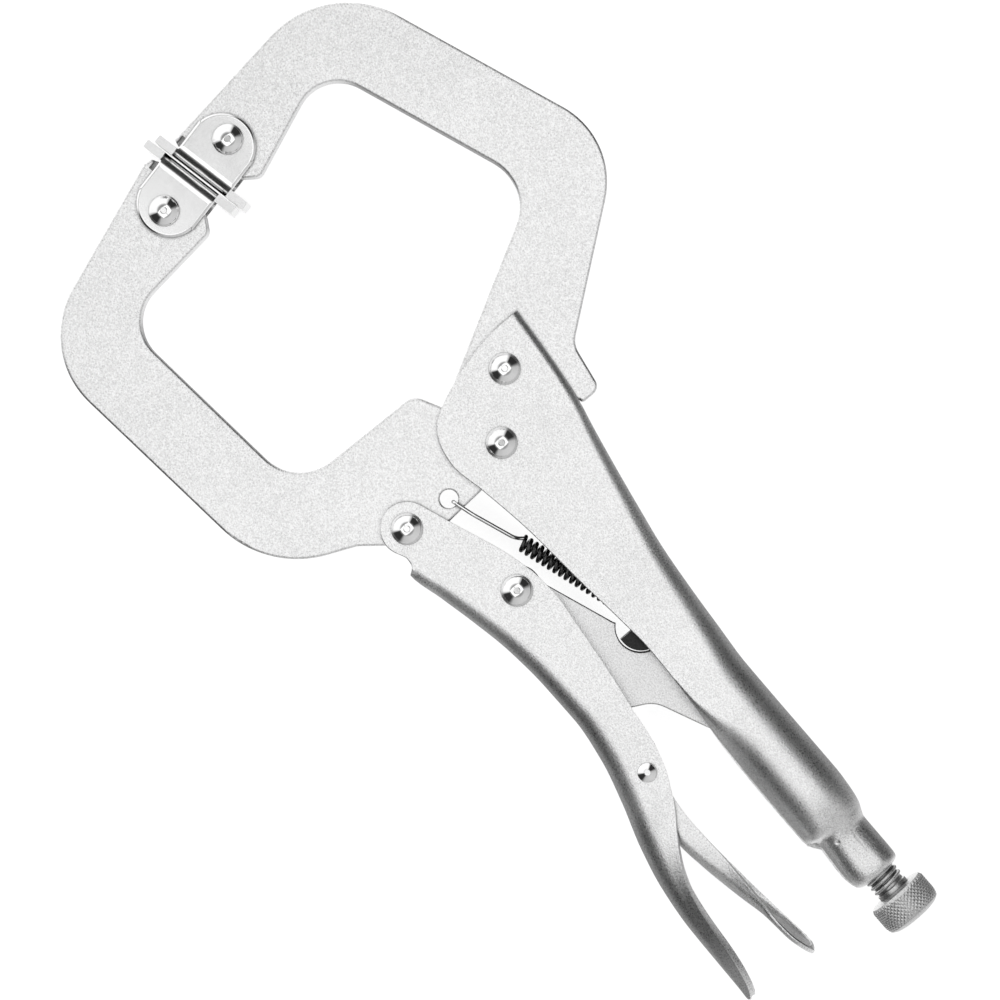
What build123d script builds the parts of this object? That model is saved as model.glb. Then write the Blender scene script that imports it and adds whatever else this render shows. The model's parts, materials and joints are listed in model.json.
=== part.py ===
from build123d import *
import math
import os

# Locking C clamp: two C-shaped arms, a pressed-steel handle, an over-centre lever and an adjusting screw.
#
# The tool lies flat. +X runs along the screw from the jaws to the knob, +Y points to the fixed arm's side
# and +Z is the hinge direction. The origin is under the middle of the tool, on the plane it lies on.
# Sketches are drawn on planes whose own origin is the jaw pivot, halfway through the tool's thickness.

# Where the jaw pivot stands in the frame
PIVOT_X = -22.1
PIVOT_Y = 1.75
MID_Z = 10.0

# Pivots, measured from the jaw pivot
FIXING = (-13.8, 13.0)
LEVER_PIVOT = (0.8, -32.7)
LINK_PIVOT = (31.1, -21.8)
RELEASE_PIVOT = (88.1, -27.1)
LINK_TIP = (93.2, 1.2)
SPRING_HOLE = (2.0, -19.6)
SPRING_HOLE_R = 2.4
HOLE_EDGE_R = 0.5
UPPER_PAD_PIVOT = (-104.5, -2.0)
LOWER_PAD_PIVOT = (-101.3, -26.3)

# Thicknesses
ARM_THICKNESS = 10.0
SHEET = 2.0
INSIDE = 10.6
OUTSIDE = INSIDE + 2 * SHEET
LINK_THICKNESS = 6.0
LINK_EDGE_R = 0.4
RELEASE_OUTSIDE = 10.0
RELEASE_SHEET = 1.4
JAW_BOSS_R = 9.2
LEVER_BOSS_R = 6.6
LEVER_FRONT_R = 6.9
LEVER_BEND_R = 3.0
LINK_BOSS_R = 6.6
RELEASE_BEND_R = 1.8
TIP_REACH = 9.1
TIP_CHAMFER = 2.8
EDGE_R = 0.7

# Rivets
RIVET_R = 2.9
RIVET_FIT = 0.06
HEAD_R = 4.1
HEAD_HEIGHT = 2.4
SMALL_RIVET_R = 1.7
SMALL_HEAD_R = 2.5
SMALL_HEAD_HEIGHT = 1.3
NIB_R = 0.9

# Swivel pads
PAD_ANGLE = 11.35
PAD_SHEET = 2.25
PAD_LENGTH = 28.3
PAD_WIDTH = 2 * MID_Z
PAD_REACH = 12.0
PAD_BEND_R = 3.8
EAR_EDGE_R = 0.8
BLANK_SPARE = 2.0
EAR_WIDTH = 17.3
EAR_TOP = 6.2
EAR_INSIDE = 10.5
PAD_RIVET_R = 2.4
PAD_HEAD_R = 3.95
PAD_HEAD_HEIGHT = 2.1
PAD_HEAD_GAP = 0.1

# Handle tube, nose and adjusting screw, all on the screw's axis
SCREW_Y = 0.9
TUBE_R = 9.4
CHANNEL_END = 66.0
TUBE_START = 90.0
LIPS_MEET = 101.0
SHOULDER = 125.0
NOSE_START = 133.4
NOSE_END = 147.0
NOSE_R = 6.7
NOSE_WALL = 1.2
SPINE_R = 3.0
SCREW_R = 4.5
SCREW_FIT = 0.08
SCREW_TIP = 101.0
COLLAR_START = 151.9
SPIGOT_R = 3.0
SPIGOT_END = 158.0
KNOB_START = 153.0
KNOB_END = 162.0
KNOB_R = 8.15

# The handle's spine, seen from the side
SPINE_LINE = [(5.0, 22.1), (26.0, 17.6), (48.0, 13.6), (CHANNEL_END, 11.8)]
SPINE_TANGENTS = [(1.0, -0.22), (1.0, 0.0)]

# Return spring and its anchor
COIL_START = (22.8, -12.8)
COIL_END = (53.5, -3.7)
COIL_R = 2.3
WIRE_R = 0.45
ANCHOR_FRONT = 58.1
NOTCH_CENTRE = (59.0, -3.9)
NOTCH_R = 6.5

MIDDLE = Plane(origin=(PIVOT_X, PIVOT_Y, MID_Z))
SCREW_AXIS = Axis((PIVOT_X, PIVOT_Y + SCREW_Y, MID_Z), (1, 0, 0))


def level(height):
    """Plane parallel to the tool's middle plane, with its origin over the jaw pivot."""
    return MIDDLE.offset(height)


def cross_plane(x):
    """Plane across the handle at x, with its own x axis along +Y and its y axis along +Z."""
    return Plane(origin=(PIVOT_X + x, PIVOT_Y, MID_Z), x_dir=(0, 1, 0), z_dir=(1, 0, 0))


def pad_point(pivot, side, along, reach):
    """Point in a pad's own directions: along its face, and from its rivet towards the other pad."""
    angle = math.radians(PAD_ANGLE)
    x = pivot[0] + along * math.cos(angle) - side * reach * math.sin(angle)
    y = pivot[1] + along * math.sin(angle) + side * reach * math.cos(angle)
    return (x, y)


def arm_tip(pivot, side):
    """Corners of an arm's tip: a square toe, then cut back where the pad's face plate swings in."""
    corners = [(-10.9, 8.4), (-9.3, TIP_REACH), (1.5, TIP_REACH), (9.2, 5.3), (12.3, 2.5)]
    return [pad_point(pivot, side, along, reach) for along, reach in corners]


def tip_bevel(pivot, side):
    """Cross-section of the two corners cut off the end of an arm, to clear the bends of the pad's ears."""
    origin = pad_point(pivot, side, 0.0, TIP_REACH)
    angle = math.radians(PAD_ANGLE)
    along = (math.cos(angle), math.sin(angle), 0.0)
    towards_pad = (-side * math.sin(angle), side * math.cos(angle), 0.0)
    plane = Plane(origin=(PIVOT_X + origin[0], PIVOT_Y + origin[1], MID_Z), x_dir=towards_pad, z_dir=along)
    out = ARM_THICKNESS / 2 + 0.2
    with BuildSketch(plane) as bevel:
        for face in (-1, 1):
            with BuildLine():
                Polyline(
                    (0.2, face * out),
                    (-TIP_CHAMFER - 0.2, face * out),
                    (0.2, face * (ARM_THICKNESS / 2 - TIP_CHAMFER - 0.2)),
                    close=True,
                )
            make_face()
    return bevel.sketch


def long_rims(arm):
    """Edges round the outline of an arm's two faces, without the rims of its holes."""
    faces = arm.faces().filter_by(Axis.Z).sort_by(Axis.Z)
    return faces[0].outer_wire().edges() + faces[-1].outer_wire().edges()


def make_fixed_jaw():
    """Upper C arm. Its foot is clamped between the handle's walls and its hook bears on the spine."""
    outline = arm_tip(UPPER_PAD_PIVOT, -1) + [
        (-103.3, 28.5),
        (-45.0, 49.5),
        (-19.0, -0.5),
        (4.6, 4.0),
        (4.6, 22.4),
        (5.9, 22.6),
        (6.0, 28.2),
        (-6.9, 30.5),
        (-39.3, 73.9),
        (-120.0, 44.5),
    ]
    radii = [0.6, 0.6, 1.0, 2.0, 2.5, 11.0, 13.0, 2.0, 1.0, 0.3, 1.0, 2.6, 6.0, 22.0, 27.0]
    with BuildPart() as fixed_jaw:
        with BuildSketch(level(-ARM_THICKNESS / 2)):
            with BuildLine():
                FilletPolyline(outline, radius=radii, close=True)
            make_face()
            Circle(JAW_BOSS_R + 0.6, mode=Mode.SUBTRACT)
            with Locations(FIXING):
                Circle(RIVET_R, mode=Mode.SUBTRACT)
            with Locations(UPPER_PAD_PIVOT):
                Circle(PAD_RIVET_R, mode=Mode.SUBTRACT)
        extrude(amount=ARM_THICKNESS)
        fillet(long_rims(fixed_jaw), EDGE_R)
        extrude(tip_bevel(UPPER_PAD_PIVOT, -1), amount=ARM_THICKNESS, both=True, mode=Mode.SUBTRACT)
    return fixed_jaw


def make_moving_jaw():
    """Lower C arm. It turns on the jaw pivot and carries the lever pivot and the spring's hole."""
    outline = arm_tip(LOWER_PAD_PIVOT, 1) + [
        (-86.8, -53.0),
        (-25.5, -47.5),
        (-24.0, -9.2),
        (-6.0, 0.0),
        (6.0, -3.0),
        (5.9, -11.7),
        (6.9, -34.0),
        (1.5, -38.5),
        (-4.2, -45.3),
        (-14.3, -67.1),
        (-95.8, -74.8),
        (-114.0, -22.4),
    ]
    radii = [0.6, 0.6, 1.0, 2.0, 2.5, 11.0, 13.0, 4.0, 1.0, 1.0, 0.3, 1.0, 1.0, 4.0, 28.0, 24.0, 1.0]
    with BuildPart() as moving_jaw:
        with BuildSketch(level(-ARM_THICKNESS / 2)):
            with BuildLine():
                FilletPolyline(outline, radius=radii, close=True)
            make_face()
            Circle(JAW_BOSS_R)
            with Locations(LEVER_PIVOT):
                Circle(LEVER_BOSS_R)
            Circle(RIVET_R + RIVET_FIT, mode=Mode.SUBTRACT)
            with Locations(LEVER_PIVOT):
                Circle(RIVET_R + RIVET_FIT, mode=Mode.SUBTRACT)
            with Locations(LOWER_PAD_PIVOT):
                Circle(PAD_RIVET_R, mode=Mode.SUBTRACT)
            with Locations(SPRING_HOLE):
                Circle(SPRING_HOLE_R, mode=Mode.SUBTRACT)
        extrude(amount=ARM_THICKNESS)
        spring_hole = moving_jaw.edges().filter_by(GeomType.CIRCLE)
        spring_hole = [edge for edge in spring_hole if abs(edge.radius - SPRING_HOLE_R) < 0.01]
        fillet(long_rims(moving_jaw), EDGE_R)
        fillet(spring_hole, HOLE_EDGE_R)
        extrude(tip_bevel(LOWER_PAD_PIVOT, 1), amount=ARM_THICKNESS, both=True, mode=Mode.SUBTRACT)
    return moving_jaw


def channel_section(x, low, high, half_width, spine_r):
    """Cross-section of the handle at x, rounded on its spine side and square on its open side."""
    with BuildSketch(cross_plane(x)) as section:
        with BuildLine():
            FilletPolyline(
                [(low, -half_width), (high, -half_width), (high, half_width), (low, half_width)],
                radius=[0.0, spine_r, spine_r, 0.0],
                close=True,
            )
        make_face()
    return section.sketch


def tube_section(x, radius):
    """Round cross-section of the handle's tube at x."""
    with BuildSketch(cross_plane(x)) as section:
        with Locations((SCREW_Y, 0.0)):
            Circle(radius)
    return section.sketch


def make_fixed_handle():
    """Folded sheet handle: an open channel in front that closes into a tube and ends in a nose."""
    front = [(-22.4, 25.3), (-22.9, 17.0), (-20.4, 3.6), (-15.6, -8.2), (-9.2, -12.5), (-3.5, -13.4)]
    lower = [(-3.5, -13.4), (5.5, -11.8), (22.3, -9.4), (52.2, -7.2), (CHANNEL_END, -6.7)]
    spine = SPINE_LINE
    along = (1.0, 0.0)
    half = OUTSIDE / 2
    with BuildPart() as fixed_handle:
        with BuildSketch(level(-half)):
            with BuildLine():
                Spline(front)
                Spline(lower, tangents=[(1.0, 0.25), along])
                Line(lower[-1], spine[-1])
                Spline(spine, tangents=SPINE_TANGENTS)
                Line(spine[0], front[0])
            make_face()
        extrude(amount=OUTSIDE)
        spine_edges = [
            e
            for e in fixed_handle.part.edges()
            if abs(abs(e.center().Z - MID_Z) - half) < 0.01 and e.center().Y > PIVOT_Y + 11.9
            and e.center().X > PIVOT_X + 8
        ]
        fillet(spine_edges, SPINE_R)
        loft(
            [
                channel_section(CHANNEL_END, lower[-1][1], spine[-1][1], half, SPINE_R),
                tube_section(TUBE_START, TUBE_R),
            ]
        )
        extrude(under_spine(), amount=INSIDE, mode=Mode.SUBTRACT)
        loft(
            [
                channel_section(CHANNEL_END, lower[-1][1] + SHEET, spine[-1][1] - SHEET, INSIDE / 2, 1.0),
                tube_section(TUBE_START, TUBE_R - SHEET),
            ],
            mode=Mode.SUBTRACT,
        )
        revolve(tube_wall(), axis=SCREW_AXIS)
        extrude(link_slot(), amount=20.0, mode=Mode.SUBTRACT)
        with Locations(place(0.0, 0.0), place(*FIXING)):
            Hole(RIVET_R, depth=OUTSIDE)
    return fixed_handle


def under_spine():
    """The room between the walls, under the spine and right out of the front and the open side."""
    under = [(x, y - SHEET) for x, y in SPINE_LINE]
    slot_end = SPINE_LINE[0][0]
    with BuildSketch(level(-INSIDE / 2)) as room:
        with BuildLine():
            Spline(under, tangents=SPINE_TANGENTS)
            Polyline(
                under[-1],
                (under[-1][0], -20.0),
                (-40.0, -20.0),
                (-40.0, 40.0),
                (slot_end, 40.0),
                under[0],
            )
        make_face()
    return room.sketch


def tube_wall():
    """Round tail of the handle, drawn in along a shoulder to the nose that holds the threaded bush."""
    profile = [
        (TUBE_START, TUBE_R - SHEET),
        (TUBE_START, TUBE_R),
        (SHOULDER, TUBE_R),
        (NOSE_START, NOSE_R),
        (NOSE_END, NOSE_R),
        (NOSE_END, NOSE_R - NOSE_WALL),
        (NOSE_START - 1.0, NOSE_R - NOSE_WALL),
        (SHOULDER - 2.0, TUBE_R - SHEET),
    ]
    with BuildSketch(MIDDLE) as wall:
        with BuildLine():
            FilletPolyline(
                [(x, SCREW_Y + r) for x, r in profile],
                radius=[0.0, 0.0, 28.0, 2.0, 1.1, 0.0, 2.0, 10.0],
                close=True,
            )
        make_face()
    return wall.sketch


def link_slot():
    """Opening between the lips, which the link works through, out to where the lips meet."""
    end_r = LINK_THICKNESS / 2 + 0.8
    below = Plane(origin=(PIVOT_X, PIVOT_Y - 20.0, MID_Z), x_dir=(1, 0, 0), z_dir=(0, 1, 0))
    with BuildSketch(below) as slot:
        with BuildLine():
            Polyline(
                (LIPS_MEET - end_r, end_r),
                (CHANNEL_END - 1.0, INSIDE / 2),
                (CHANNEL_END - 1.0, -INSIDE / 2),
                (LIPS_MEET - end_r, -end_r),
            )
            ThreePointArc((LIPS_MEET - end_r, -end_r), (LIPS_MEET, 0.0), (LIPS_MEET - end_r, end_r))
        make_face()
    return slot.sketch


def trough_plane():
    """Plane at the bottom of the inside of the lever's channel."""
    return level(-INSIDE / 2)


def make_lever():
    """Over-centre lever: a folded channel, deep where it straddles the jaw and shallow towards its tail."""
    upper = [(5.6, -23.8), (20.7, -18.0), (36.0, -15.1), (62.5, -17.6), (82.0, -20.3), (98.4, -27.6)]
    upper += [(112.0, -36.6), (130.0, -40.4), (147.6, -42.9)]
    lower = [(147.6, -46.0), (126.0, -45.4), (104.0, -41.9), (86.0, -36.0), (66.0, -32.5)]
    lower += [(44.0, -33.0), (10.4, -39.7)]
    centre = LEVER_PIVOT
    with BuildPart() as lever:
        with BuildSketch(level(-OUTSIDE / 2)):
            with BuildLine():
                Spline(upper)
                ThreePointArc(upper[-1], (150.2, -45.0), lower[0])
                Spline(lower)
                Line(lower[-1], (centre[0] + 3.0, centre[1] - 6.2))
                ThreePointArc(
                    (centre[0] + 3.0, centre[1] - 6.2),
                    (centre[0] - LEVER_FRONT_R, centre[1]),
                    (centre[0] + 1.4, centre[1] + LEVER_FRONT_R - 0.2),
                )
                Line((centre[0] + 1.4, centre[1] + LEVER_FRONT_R - 0.2), upper[0])
            make_face()
        extrude(amount=OUTSIDE)
        bend = [
            e
            for e in lever.part.edges()
            if e.geom_type == GeomType.BSPLINE and abs(abs(e.center().Z - MID_Z) - OUTSIDE / 2) < 0.01
        ]
        fillet(sorted(bend, key=lambda e: e.center().Y)[:2], LEVER_BEND_R)
        with BuildSketch(trough_plane()):
            with BuildLine():
                inner = [(x, y + SHEET) for x, y in lower]
                Spline(inner)
                web = lower[-1][0]
                Polyline(inner[-1], (web, -45.0), (-12.0, -45.0), (-12.0, 0.0), (147.6, 0.0), inner[0])
            make_face()
        extrude(amount=INSIDE, mode=Mode.SUBTRACT)
        for pivot, radius in ((LEVER_PIVOT, RIVET_R), (LINK_PIVOT, RIVET_R), (RELEASE_PIVOT, SMALL_RIVET_R)):
            with Locations(place(*pivot)):
                Hole(radius, depth=OUTSIDE)
    return lever


def make_toggle_link():
    """Link from the lever to the screw's tip, notched to clear the spring anchor when the lever is shut."""
    notch_start = (NOTCH_CENTRE[0] - 5.5, NOTCH_CENTRE[1] - 4.6)
    with BuildPart() as toggle_link:
        with BuildSketch(level(-LINK_THICKNESS / 2)):
            with BuildLine():
                outline = [
                    (31.0, -16.6),
                    notch_start,
                    (64.5, -1.2),
                    (91.0, 4.4),
                    (97.0, 3.0),
                    (96.6, -2.4),
                    (90.5, -7.6),
                    (76.0, -14.0),
                    (73.2, -19.2),
                    (70.6, -22.2),
                    (50.0, -26.2),
                    (31.0, -26.4),
                ]
                corners = [1.0, 0.4, 1.0, 8.0, 2.6, 2.2, 8.0, 8.0, 1.0, 1.5, 10.0, 1.0]
                FilletPolyline(outline, radius=corners, close=True)
            make_face()
            with Locations(LINK_PIVOT):
                Circle(LINK_BOSS_R)
                Circle(RIVET_R + RIVET_FIT, mode=Mode.SUBTRACT)
            with Locations(NOTCH_CENTRE):
                Circle(NOTCH_R, mode=Mode.SUBTRACT)
        extrude(amount=LINK_THICKNESS)
        fillet(long_rims(toggle_link), LINK_EDGE_R)
    return toggle_link


def make_release_lever():
    """Small channel inside the lever. Its nose lifts the link off centre, and its tail is a thumb paddle."""
    upper = [(78.0, -24.4), (88.0, -23.2), (97.0, -25.4), (108.0, -27.0), (122.0, -26.0), (149.4, -23.8)]
    lower = [(149.4, -26.8), (138.0, -28.7), (122.0, -31.6), (108.0, -33.1), (96.0, -32.4), (84.0, -30.2)]
    half = RELEASE_OUTSIDE / 2
    with BuildPart() as release_lever:
        with BuildSketch(level(-half)):
            with BuildLine():
                Spline(upper)
                ThreePointArc(upper[-1], (151.2, -25.2), lower[0])
                Spline(lower)
                Polyline(lower[-1], (75.6, -27.4), (75.2, -25.2), upper[0])
            make_face()
        extrude(amount=RELEASE_OUTSIDE)
        bend = [
            e
            for e in release_lever.part.edges()
            if e.geom_type == GeomType.BSPLINE and abs(abs(e.center().Z - MID_Z) - half) < 0.01
        ]
        fillet(sorted(bend, key=lambda e: e.center().Y)[:2], RELEASE_BEND_R)
        with BuildSketch(level(-half + RELEASE_SHEET)):
            with BuildLine():
                inner = [(x, y + RELEASE_SHEET) for x, y in lower]
                Spline(inner)
                Polyline(inner[-1], (79.5, -27.6), (79.5, 0.0), (148.8, 0.0), inner[0])
            make_face()
        extrude(amount=RELEASE_OUTSIDE - 2 * RELEASE_SHEET, mode=Mode.SUBTRACT)
        with BuildSketch(level(0.0)):
            with BuildLine():
                Spline((119.0, -24.0), (126.0, -26.8), (138.0, -27.2), (149.0, -25.3))
                Polyline((149.0, -25.3), (153.0, -25.3), (153.0, -20.0), (119.0, -20.0), (119.0, -24.0))
            make_face()
        extrude(amount=RELEASE_OUTSIDE, mode=Mode.SUBTRACT)
        with Locations(place(*RELEASE_PIVOT)):
            Hole(SMALL_RIVET_R + RIVET_FIT, depth=RELEASE_OUTSIDE)
    return release_lever


def make_rivet(centre, shank_r, half_grip, head_r, head_height):
    """Rivet through the whole grip, with a domed head and a small nib at each end."""
    nib_height = 0.25
    crown = (head_r * 0.62, half_grip + head_height * 0.76)
    with BuildPart() as rivet:
        with BuildSketch(Plane(origin=place(*centre), x_dir=(1, 0, 0), z_dir=(0, -1, 0))):
            with BuildLine():
                Polyline(
                    (0.0, 0.0),
                    (shank_r, 0.0),
                    (shank_r, half_grip),
                    (head_r, half_grip),
                    (head_r, half_grip + 0.2),
                )
                ThreePointArc((head_r, half_grip + 0.2), crown, (NIB_R, half_grip + head_height))
                Polyline(
                    (NIB_R, half_grip + head_height),
                    (NIB_R - 0.15, half_grip + head_height + nib_height),
                    (0.0, half_grip + head_height + nib_height),
                    (0.0, 0.0),
                )
            make_face()
        revolve(axis=Axis(place(*centre), (0, 0, 1)))
        mirror(about=MIDDLE)
    return rivet


def place(x, y, z=0.0):
    """Point given from the jaw pivot, in the part's frame."""
    return (PIVOT_X + x, PIVOT_Y + y, MID_Z + z)


def make_pad(pivot, side):
    """Swivel pad: a face plate with an ear folded up on each side of the arm's tip."""
    angle = math.radians(PAD_ANGLE)
    along = (math.cos(angle), math.sin(angle), 0.0)
    face = pad_point(pivot, side, 0.0, PAD_REACH)
    towards_arm = (side * math.sin(angle), -side * math.cos(angle), 0.0)
    ear_top = PAD_REACH + EAR_TOP
    outside = EAR_INSIDE / 2 + PAD_SHEET
    fold = Plane(origin=place(*face), x_dir=towards_arm, z_dir=along)
    ear_plane = Plane(origin=place(*face), x_dir=along, z_dir=(0, 0, 1))
    up = -side
    with BuildPart() as pad:
        with BuildSketch(fold):
            with BuildLine():
                FilletPolyline(
                    [(ear_top, outside), (0.0, outside), (0.0, -outside), (ear_top, -outside)],
                    radius=[PAD_BEND_R, PAD_BEND_R],
                )
                FilletPolyline(
                    [
                        (ear_top, outside - PAD_SHEET),
                        (PAD_SHEET, outside - PAD_SHEET),
                        (PAD_SHEET, -outside + PAD_SHEET),
                        (ear_top, -outside + PAD_SHEET),
                    ],
                    radius=[PAD_BEND_R - PAD_SHEET, PAD_BEND_R - PAD_SHEET],
                )
                Line((ear_top, outside), (ear_top, outside - PAD_SHEET))
                Line((ear_top, -outside), (ear_top, -outside + PAD_SHEET))
            make_face()
        extrude(amount=EAR_WIDTH / 2, both=True)
        with BuildPart(mode=Mode.PRIVATE) as ear_blank:
            with BuildSketch(ear_plane.offset(-outside)):
                with Locations((0.0, up * (ear_top - EAR_WIDTH / 2) / 2)):
                    Rectangle(EAR_WIDTH, ear_top - EAR_WIDTH / 2 + 2 * BLANK_SPARE)
                with Locations((0.0, up * (ear_top - EAR_WIDTH / 2))):
                    Circle(EAR_WIDTH / 2)
            extrude(amount=2 * outside)
            fillet(ear_blank.faces().filter_by(Axis.Z).edges(), EAR_EDGE_R)
        add(ear_blank.part, mode=Mode.INTERSECT)
        with BuildSketch(ear_plane.offset(-PAD_WIDTH / 2)):
            for end in (-1, 1):
                with Locations((end * (PAD_LENGTH + EAR_WIDTH) / 4, up * PAD_SHEET / 2)):
                    Rectangle((PAD_LENGTH - EAR_WIDTH) / 2, PAD_SHEET)
        extrude(amount=PAD_WIDTH)
        with Locations(place(*pivot)):
            Hole(PAD_RIVET_R + RIVET_FIT, depth=2 * MID_Z)
    return pad


def make_threaded_bush():
    """Bush held in the nose. The adjusting screw runs in it, with both threads drawn at full diameter."""
    with BuildPart() as threaded_bush:
        with BuildSketch(cross_plane(NOSE_START + 0.6)):
            with Locations((SCREW_Y, 0.0)):
                Circle(NOSE_R - NOSE_WALL)
                Circle(SCREW_R + SCREW_FIT, mode=Mode.SUBTRACT)
        extrude(amount=NOSE_END - NOSE_START - 1.2)
    return threaded_bush


def make_spring_anchor():
    """Block across the handle that the return spring hooks to, standing just inside the link's notch."""
    with BuildPart() as spring_anchor:
        with BuildSketch(level(-INSIDE / 2)):
            with Locations(NOTCH_CENTRE):
                Circle(NOTCH_R - 0.4)
            with Locations((ANCHOR_FRONT + 2.5, 4.0)):
                Rectangle(5.0, 16.6)
            with Locations((ANCHOR_FRONT - 10.0, NOTCH_CENTRE[1])):
                Rectangle(20.0, 30.0, mode=Mode.SUBTRACT)
        extrude(amount=INSIDE)
        extrude(under_spine(), amount=INSIDE, mode=Mode.INTERSECT)
    return spring_anchor


def make_return_spring():
    """Extension spring: the coil drawn as a tube, and the straight hook that drops into the jaw's hole."""
    run = (COIL_END[0] - COIL_START[0], COIL_END[1] - COIL_START[1], 0.0)
    length = math.hypot(run[0], run[1])
    hook = [
        place(SPRING_HOLE[0] + 1.2, SPRING_HOLE[1] + 0.4, -ARM_THICKNESS / 2 - 0.6),
        place(SPRING_HOLE[0] + 1.2, SPRING_HOLE[1] + 0.4, ARM_THICKNESS / 2 + 0.65),
        place(8.2, -17.6, ARM_THICKNESS / 2 + 0.65),
        place(*COIL_START, COIL_R - WIRE_R),
    ]
    with BuildPart() as return_spring:
        with BuildSketch(Plane(origin=place(*COIL_START), z_dir=run)):
            Circle(COIL_R)
            Circle(COIL_R - 2 * WIRE_R, mode=Mode.SUBTRACT)
        extrude(amount=length)
        with BuildLine() as wire:
            FilletPolyline(hook, radius=[0.8, 2.0])
        with BuildSketch(Plane(origin=hook[0], z_dir=(0, 0, 1))):
            Circle(WIRE_R)
        sweep(path=wire.line)
        with BuildSketch(Plane(origin=place(*COIL_END, WIRE_R - COIL_R), z_dir=run)):
            Circle(WIRE_R)
        extrude(amount=ANCHOR_FRONT - COIL_END[0])
    return return_spring


def make_adjusting_screw():
    """Screw shank from its tip behind the link to the collar under the knob."""
    with BuildPart() as adjusting_screw:
        with BuildSketch(cross_plane(SCREW_TIP)):
            with Locations((SCREW_Y, 0.0)):
                Circle(SCREW_R)
        extrude(amount=KNOB_START - 0.1 - SCREW_TIP)
        chamfer(adjusting_screw.edges().sort_by(Axis.X)[0], 0.8)
        with BuildSketch(cross_plane(COLLAR_START)):
            with Locations((SCREW_Y, 0.0)):
                Circle(SPIGOT_R)
        extrude(amount=SPIGOT_END - COLLAR_START)
    return adjusting_screw


def make_screw_knob():
    """Knurled knob at the end of the screw."""
    with BuildPart() as screw_knob:
        with BuildSketch(MIDDLE):
            with BuildLine():
                FilletPolyline(
                    [
                        (KNOB_START, SCREW_Y + SPIGOT_R + SCREW_FIT),
                        (KNOB_START, SCREW_Y + KNOB_R),
                        (KNOB_END, SCREW_Y + KNOB_R),
                        (KNOB_END, SCREW_Y),
                        (SPIGOT_END + 0.1, SCREW_Y),
                        (SPIGOT_END + 0.1, SCREW_Y + SPIGOT_R + SCREW_FIT),
                    ],
                    radius=[0.0, 1.6, 2.6, 0.0, 0.0, 0.0],
                    close=True,
                )
            make_face()
        revolve(axis=SCREW_AXIS)
    return screw_knob


def grip_rivet(centre):
    """Rivet across the outside of a folded channel."""
    return make_rivet(centre, RIVET_R, OUTSIDE / 2, HEAD_R, HEAD_HEIGHT)


def release_rivet(centre):
    """Small rivet on which the release lever turns."""
    return make_rivet(centre, SMALL_RIVET_R, OUTSIDE / 2, SMALL_HEAD_R, SMALL_HEAD_HEIGHT)


def pad_rivet(centre):
    """Rivet across both ears of a pad, with its heads just clear of them."""
    grip = EAR_INSIDE / 2 + PAD_SHEET + PAD_HEAD_GAP
    return make_rivet(centre, PAD_RIVET_R, grip, PAD_HEAD_R, PAD_HEAD_HEIGHT)


PIECES = {
    "fixed_handle": make_fixed_handle(),
    "threaded_bush": make_threaded_bush(),
    "spring_anchor": make_spring_anchor(),
    "return_spring": make_return_spring(),
    "fixed_jaw": make_fixed_jaw(),
    "jaw_fixing_rivet": grip_rivet(FIXING),
    "jaw_pivot_rivet": grip_rivet((0.0, 0.0)),
    "moving_jaw": make_moving_jaw(),
    "lever": make_lever(),
    "lever_pivot_rivet": grip_rivet(LEVER_PIVOT),
    "link_pivot_rivet": grip_rivet(LINK_PIVOT),
    "toggle_link": make_toggle_link(),
    "release_lever": make_release_lever(),
    "release_lever_rivet": release_rivet(RELEASE_PIVOT),
    "upper_pad": make_pad(UPPER_PAD_PIVOT, -1),
    "upper_pad_rivet": pad_rivet(UPPER_PAD_PIVOT),
    "lower_pad": make_pad(LOWER_PAD_PIVOT, 1),
    "lower_pad_rivet": pad_rivet(LOWER_PAD_PIVOT),
    "adjusting_screw": make_adjusting_screw(),
    "screw_knob": make_screw_knob(),
}

os.makedirs("parts", exist_ok=True)
for name, piece in PIECES.items():
    piece.part.label = name
    export_step(piece.part, f"parts/{name}.step")
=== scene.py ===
import json
import math
import bpy
import numpy as np
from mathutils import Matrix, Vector


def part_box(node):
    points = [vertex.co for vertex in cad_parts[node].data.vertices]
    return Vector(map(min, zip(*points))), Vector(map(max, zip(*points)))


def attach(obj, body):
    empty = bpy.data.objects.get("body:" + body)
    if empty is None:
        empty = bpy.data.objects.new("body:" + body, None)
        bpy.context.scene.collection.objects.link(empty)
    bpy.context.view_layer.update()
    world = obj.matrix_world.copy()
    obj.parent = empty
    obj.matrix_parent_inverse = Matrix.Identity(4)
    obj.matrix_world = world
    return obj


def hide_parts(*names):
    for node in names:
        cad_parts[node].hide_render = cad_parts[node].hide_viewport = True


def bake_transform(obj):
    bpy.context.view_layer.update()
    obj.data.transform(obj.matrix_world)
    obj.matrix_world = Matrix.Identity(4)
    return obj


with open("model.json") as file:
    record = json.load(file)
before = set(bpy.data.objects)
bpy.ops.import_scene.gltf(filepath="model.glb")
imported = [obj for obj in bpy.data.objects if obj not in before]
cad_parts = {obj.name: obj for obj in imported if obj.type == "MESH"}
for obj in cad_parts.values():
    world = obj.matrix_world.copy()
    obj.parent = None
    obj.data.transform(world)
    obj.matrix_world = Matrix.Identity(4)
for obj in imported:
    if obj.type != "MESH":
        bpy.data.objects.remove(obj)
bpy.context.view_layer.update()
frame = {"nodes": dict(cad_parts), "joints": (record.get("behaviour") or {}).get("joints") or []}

# Places are in millimetres from the jaw pivot: X along the screw, Y across it, Z through the thickness
MM = 0.001
joints = {j["name"]: j for j in frame["joints"]}
PIVOT = Vector(joints["jaw_pivot"]["pos_m"])
SCREW_Y = (Vector(joints["knob_turn"]["pos_m"]) - PIVOT).y / MM
# Two places closer than this are the same
CLOSE = 1e-6


# Shapes


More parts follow.
